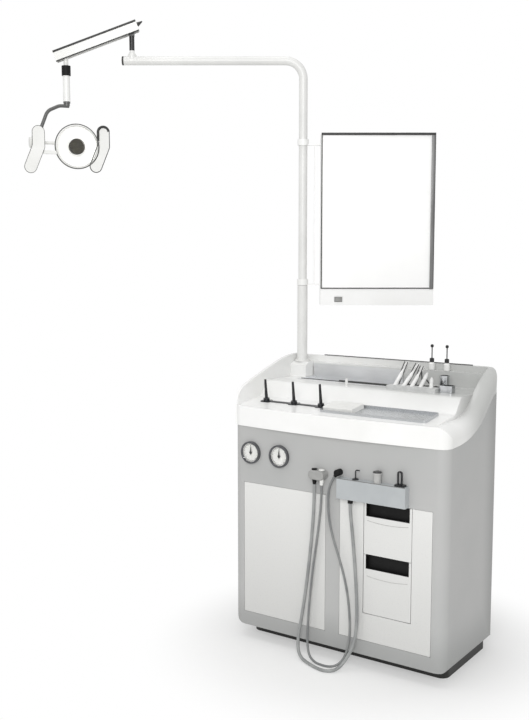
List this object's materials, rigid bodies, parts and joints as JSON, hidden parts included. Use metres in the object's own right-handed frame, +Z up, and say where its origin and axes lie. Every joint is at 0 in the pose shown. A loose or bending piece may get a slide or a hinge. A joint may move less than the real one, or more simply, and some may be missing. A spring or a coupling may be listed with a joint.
{
  "type": "ent treatment unit",
  "caption": "Grey ENT treatment cabinet with a white moulded worktop, drawers, front hoses, tools, a post with a swinging examination lamp and a film viewer",
  "frame": {"origin": "centre of the cabinet's footprint on the floor, on the plinth's underside", "axes": "+X to the user's right when facing the front, -Y out of the front, +Z up"},
  "size_m": [1.5934, 0.9574, 2.2164],
  "materials": {
    "black_plinth": "matt",
    "grey_shell": "satin",
    "white_panel": "satin",
    "black_pull": "matt",
    "galvanised_steel": "matt",
    "black_fitting": "matt",
    "pump_grey": "satin",
    "gauge_case": "satin",
    "clear_glass": "clear",
    "pointer_dark": "satin",
    "grey_bracket": "satin",
    "blue_grey_rack": "satin",
    "grey_hose": "satin",
    "white_moulding": "gloss",
    "stainless_steel": "brushed",
    "pale_plastic": "satin",
    "dark_steel": "satin",
    "white_enamel": "gloss",
    "polished_reflector": "polished",
    "opal_sheet": "satin"
  },
  "bodies": {
    "cabinet": {"plinth": "black_plinth", "body_shell": "grey_shell", "service_cover": "white_panel", "drawer_fascia": "white_panel", "drawer_carcass": "galvanised_steel", "inner_frame": "galvanised_steel", "back_panel": "galvanised_steel", "mains_inlet": "black_fitting", "pump_set": "pump_grey", "gauge_cases": "gauge_case", "gauge_lenses": "clear_glass", "hose_hood": "grey_bracket", "front_rack": "blue_grey_rack", "hose_glands": "black_fitting", "suction_hose": "grey_hose", "spray_hose": "grey_hose", "worktop": "white_moulding", "instrument_tray": "stainless_steel", "shelf_fittings": "stainless_steel", "swab_box": "pale_plastic", "handpiece_cradle": "pale_plastic", "deck_cups": "stainless_steel", "post_sleeve": "white_enamel"},
    "upper_drawer": {"upper_drawer": "white_panel", "upper_pull": "black_pull"},
    "lower_drawer": {"lower_drawer": "white_panel", "lower_pull": "black_pull"},
    "pressure_pointer": {"pressure_pointer": "pointer_dark"},
    "suction_pointer": {"suction_pointer": "pointer_dark"},
    "suction_handpiece": {"suction_handpiece": "pale_plastic"},
    "spray_handpiece": {"spray_handpiece": "pale_plastic"},
    "cannula": {"cannula": "stainless_steel"},
    "capped_handle": {"capped_handle": "pale_plastic"},
    "spring_clip": {"spring_clip": "dark_steel"},
    "left_probe": {"left_probe": "dark_steel"},
    "middle_probe": {"middle_probe": "dark_steel"},
    "right_probe": {"right_probe": "dark_steel"},
    "left_atomiser": {"left_atomiser": "pale_plastic"},
    "right_atomiser": {"right_atomiser": "pale_plastic"},
    "lamp_post": {"lamp_tube": "white_enamel"},
    "spindle": {"arm_spindle": "white_enamel"},
    "balanced_arm": {"arm_cover": "white_enamel"},
    "drop": {"drop_link": "white_enamel", "drop_collar": "black_fitting"},
    "lamp_yoke": {"lamp_yoke": "white_enamel"},
    "lamp_head": {"lamp_housing": "white_enamel", "tilt_knob": "white_enamel", "reflector": "polished_reflector", "bulb_shield": "dark_steel", "head_lens": "clear_glass"},
    "viewer": {"viewer_bracket": "white_enamel", "viewer_case": "white_enamel", "viewer_screen": "opal_sheet", "viewer_frame": "dark_steel"},
    "viewer_switch": {"viewer_switch": "pale_plastic"},
    "rinse_handpiece_1": {"rinse_handpiece_1": "pale_plastic"},
    "rinse_handpiece_2": {"rinse_handpiece_2": "pale_plastic"},
    "rinse_handpiece_3": {"rinse_handpiece_3": "pale_plastic"},
    "rinse_handpiece_4": {"rinse_handpiece_4": "pale_plastic"},
    "rinse_handpiece_5": {"rinse_handpiece_5": "pale_plastic"}
  },
  "joints": [
    {"name": "upper_drawer_slide", "type": "slide", "parent": "cabinet", "child": "upper_drawer", "axis": [0, -1, 0], "range_m": [0, 0.25]},
    {"name": "lower_drawer_slide", "type": "slide", "parent": "cabinet", "child": "lower_drawer", "axis": [0, -1, 0], "range_m": [0, 0.25]},
    {"name": "pressure_gauge", "type": "hinge", "parent": "cabinet", "child": "pressure_pointer", "pos_m": [-0.331, -0.22, 0.679], "axis": [0, -1, 0], "range_deg": [-130, 130], "stiffness_Nm_per_rad": 0.002},
    {"name": "suction_gauge", "type": "hinge", "parent": "cabinet", "child": "suction_pointer", "pos_m": [-0.212, -0.22, 0.679], "axis": [0, -1, 0], "range_deg": [-130, 130], "stiffness_Nm_per_rad": 0.002},
    {"name": "suction_handpiece_lift", "type": "slide", "parent": "cabinet", "child": "suction_handpiece", "axis": [0, 0, 1], "range_m": [0, 0.06]},
    {"name": "spray_handpiece_lift", "type": "slide", "parent": "cabinet", "child": "spray_handpiece", "axis": [0, 0, 1], "range_m": [0, 0.06]},
    {"name": "cannula_lift", "type": "slide", "parent": "cabinet", "child": "cannula", "axis": [0, 0, 1], "range_m": [0, 0.06]},
    {"name": "capped_handle_lift", "type": "slide", "parent": "cabinet", "child": "capped_handle", "axis": [0, 0, 1], "range_m": [0, 0.06]},
    {"name": "spring_clip_lift", "type": "slide", "parent": "cabinet", "child": "spring_clip", "axis": [0, 0, 1], "range_m": [0, 0.06]},
    {"name": "left_probe_lift", "type": "slide", "parent": "cabinet", "child": "left_probe", "axis": [0, -0.115, 0.9934], "range_m": [0, 0.05]},
    {"name": "middle_probe_lift", "type": "slide", "parent": "cabinet", "child": "middle_probe", "axis": [0, -0.115, 0.9934], "range_m": [0, 0.05]},
    {"name": "right_probe_lift", "type": "slide", "parent": "cabinet", "child": "right_probe", "axis": [0, -0.115, 0.9934], "range_m": [0, 0.05]},
    {"name": "rinse_handpiece_1_lift", "type": "slide", "parent": "cabinet", "child": "rinse_handpiece_1", "axis": [0.1063, 0.7088, 0.6973], "range_m": [0, 0.05]},
    {"name": "rinse_handpiece_2_lift", "type": "slide", "parent": "cabinet", "child": "rinse_handpiece_2", "axis": [0.1971, 0.7166, 0.6691], "range_m": [0, 0.05]},
    {"name": "rinse_handpiece_3_lift", "type": "slide", "parent": "cabinet", "child": "rinse_handpiece_3", "axis": [0.0679, 0.7757, 0.6274], "range_m": [0, 0.05]},
    {"name": "rinse_handpiece_4_lift", "type": "slide", "parent": "cabinet", "child": "rinse_handpiece_4", "axis": [-0.1085, 0.8678, 0.4849], "range_m": [0, 0.05]},
    {"name": "rinse_handpiece_5_lift", "type": "slide", "parent": "cabinet", "child": "rinse_handpiece_5", "axis": [-0.3808, 0.8704, 0.3122], "range_m": [0, 0.05]},
    {"name": "left_atomiser_lift", "type": "slide", "parent": "cabinet", "child": "left_atomiser", "axis": [0, 0, 1], "range_m": [0, 0.06]},
    {"name": "right_atomiser_lift", "type": "slide", "parent": "cabinet", "child": "right_atomiser", "axis": [0, 0, 1], "range_m": [0, 0.06]},
    {"name": "lamp_post_swivel", "type": "hinge", "parent": "cabinet", "child": "lamp_post", "pos_m": [-0.37, 0.168, 1.1], "axis": [0, 0, 1], "range_deg": [-60, 60]},
    {"name": "spindle_swivel", "type": "hinge", "parent": "lamp_post", "child": "spindle", "pos_m": [-0.8896, -0.19178, 2.08], "axis": [0, 0, 1], "range_deg": [-120, 120]},
    {"name": "arm_lift", "type": "hinge", "parent": "spindle", "child": "balanced_arm", "pos_m": [-0.8896, -0.19178, 2.192], "axis": [-0.5693, 0.8221, 0], "range_deg": [-20, 40]},
    {"name": "drop_level", "type": "hinge", "parent": "balanced_arm", "child": "drop", "pos_m": [-1.09046, -0.33087, 2.10307], "axis": [-0.5693, 0.8221, 0], "range_deg": [-40, 20]},
    {"name": "lamp_swivel", "type": "hinge", "parent": "drop", "child": "lamp_yoke", "pos_m": [-1.09046, -0.33087, 1.99], "axis": [0, 0, 1], "range_deg": [-135, 135]},
    {"name": "lamp_tilt", "type": "hinge", "parent": "lamp_yoke", "child": "lamp_head", "pos_m": [-1.09046, -0.33087, 1.776], "axis": [0.549, 0.8358, 0], "range_deg": [-15, 60]},
    {"name": "viewer_swivel", "type": "hinge", "parent": "lamp_post", "child": "viewer", "pos_m": [-0.37, 0.168, 1.5], "axis": [0, 0, 1], "range_deg": [-40, 40]},
    {"name": "switch_rock", "type": "hinge", "parent": "viewer", "child": "viewer_switch", "pos_m": [-0.24845, 0.22784, 1.198], "axis": [0.8221, 0.5693, 0], "range_deg": [-6, 6]}
  ],
  "couplings": [
    {"joint": "drop_level", "follows": "arm_lift", "ratio": -1}
  ]
}
